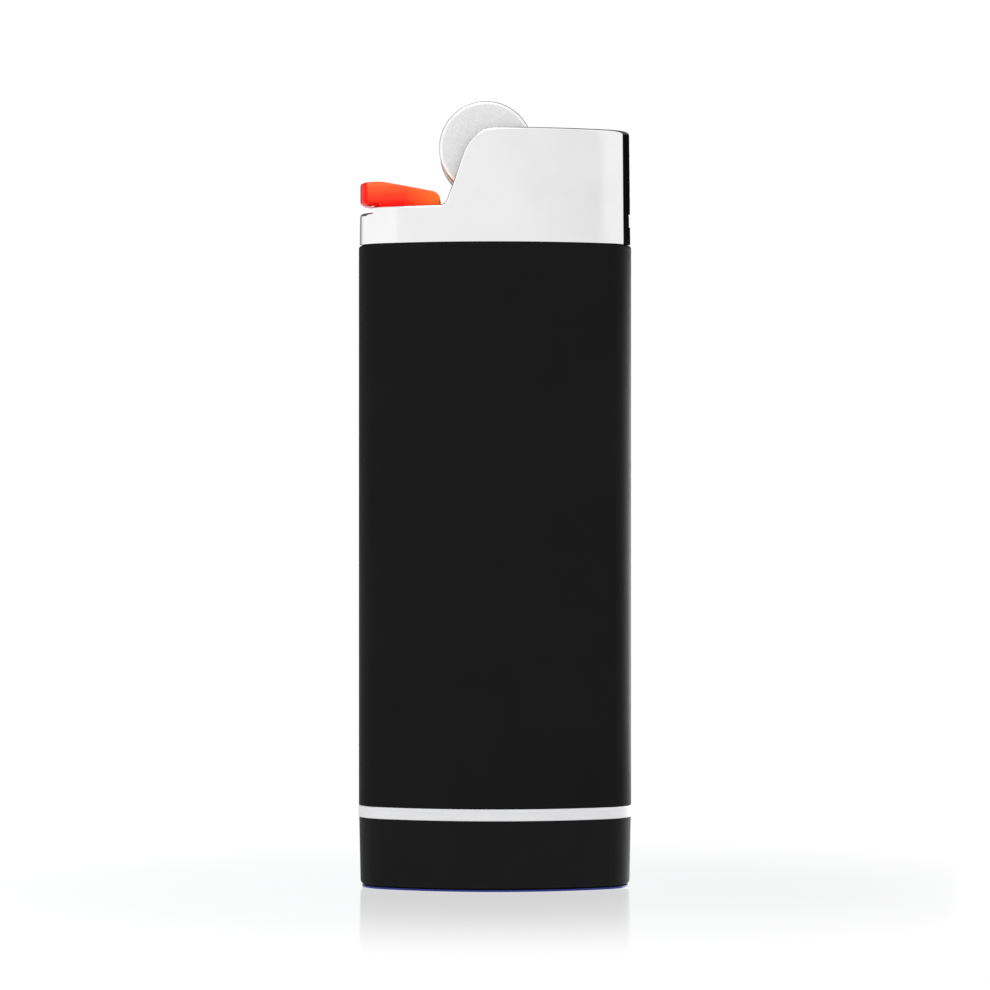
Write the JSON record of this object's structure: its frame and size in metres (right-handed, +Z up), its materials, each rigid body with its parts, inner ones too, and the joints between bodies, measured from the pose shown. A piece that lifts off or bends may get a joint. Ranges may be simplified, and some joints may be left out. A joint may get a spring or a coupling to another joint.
{
  "type": "lighter",
  "caption": "Pocket flint-wheel gas lighter with an oval body, metal wind hood, thumb lever, spark wheel set and lifting gas valve.",
  "frame": {"origin": "centre of the footprint on the surface the lighter stands on", "axes": "+Z up along the body, +X from the lever end to the flame end, +Y across the thickness"},
  "size_m": [0.0218, 0.0108, 0.0622],
  "materials": {
    "sleeve_black": "satin black, fine grain",
    "cap_black": "satin black moulded",
    "band_satin": "pale satin",
    "tank_navy": "dark navy moulded",
    "ball_steel": "polished ball",
    "hood_chrome": "mirror nickel plate",
    "valve_metal": "turned",
    "seal_rubber": "matte",
    "filter_foam": "pressed foam",
    "wick_fibre": "braided fibre",
    "jet_brass": "turned brass",
    "spring_steel": "drawn wire",
    "flint_alloy": "dull grey alloy",
    "wheel_steel": "satin, polished bevel",
    "wheel_file": "file cut, hardened",
    "lever_red": "glossy orange-red"
  },
  "bodies": {
    "body": {"fuel_tank": "tank_navy", "tank_base": "tank_navy", "filler_ball": "ball_steel", "outer_sleeve": "sleeve_black", "accent_ring": "band_satin", "base_cap": "cap_black", "wind_hood": "hood_chrome", "valve_body": "valve_metal", "valve_o_ring": "seal_rubber", "flow_filter": "filter_foam", "filter_retainer": "valve_metal", "feed_wick": "wick_fibre", "spring_retainer": "valve_metal"},
    "wheel": {"spark_wheel": "wheel_file", "front_thumb_wheel": "wheel_steel", "rear_thumb_wheel": "wheel_steel", "wheel_axle": "wheel_steel"},
    "lever": {"thumb_lever": "lever_red"},
    "jet": {"jet_nozzle": "jet_brass", "jet_pad": "seal_rubber", "jet_spring": "spring_steel"},
    "flint": {"flint": "flint_alloy", "flint_spring": "spring_steel"}
  },
  "joints": [
    {"name": "wheel_spin", "type": "hinge", "parent": "body", "child": "wheel", "pos_m": [-0.0007, 0, 0.05849], "axis": [0, 1, 0], "continuous": true},
    {"name": "lever_press", "type": "hinge", "parent": "body", "child": "lever", "pos_m": [-0.0007, 0, 0.0563], "axis": [0, -1, 0], "range_deg": [0, 3], "stiffness_Nm_per_rad": 0.0001, "springref_deg": -7.45},
    {"name": "jet_lift", "type": "slide", "parent": "body", "child": "jet", "axis": [0, 0, 1], "range_m": [0, 0.000327], "deforming": ["jet_spring"]},
    {"name": "flint_feed", "type": "slide", "parent": "body", "child": "flint", "axis": [0, 0, 1], "range_m": [-0.001, 0], "stiffness_N_per_m": 4, "springref_m": 0.0015, "deforming": ["flint_spring"]}
  ],
  "couplings": [
    {"joint": "lever_press", "follows": "jet_lift", "rad_per_m": 160}
  ]
}
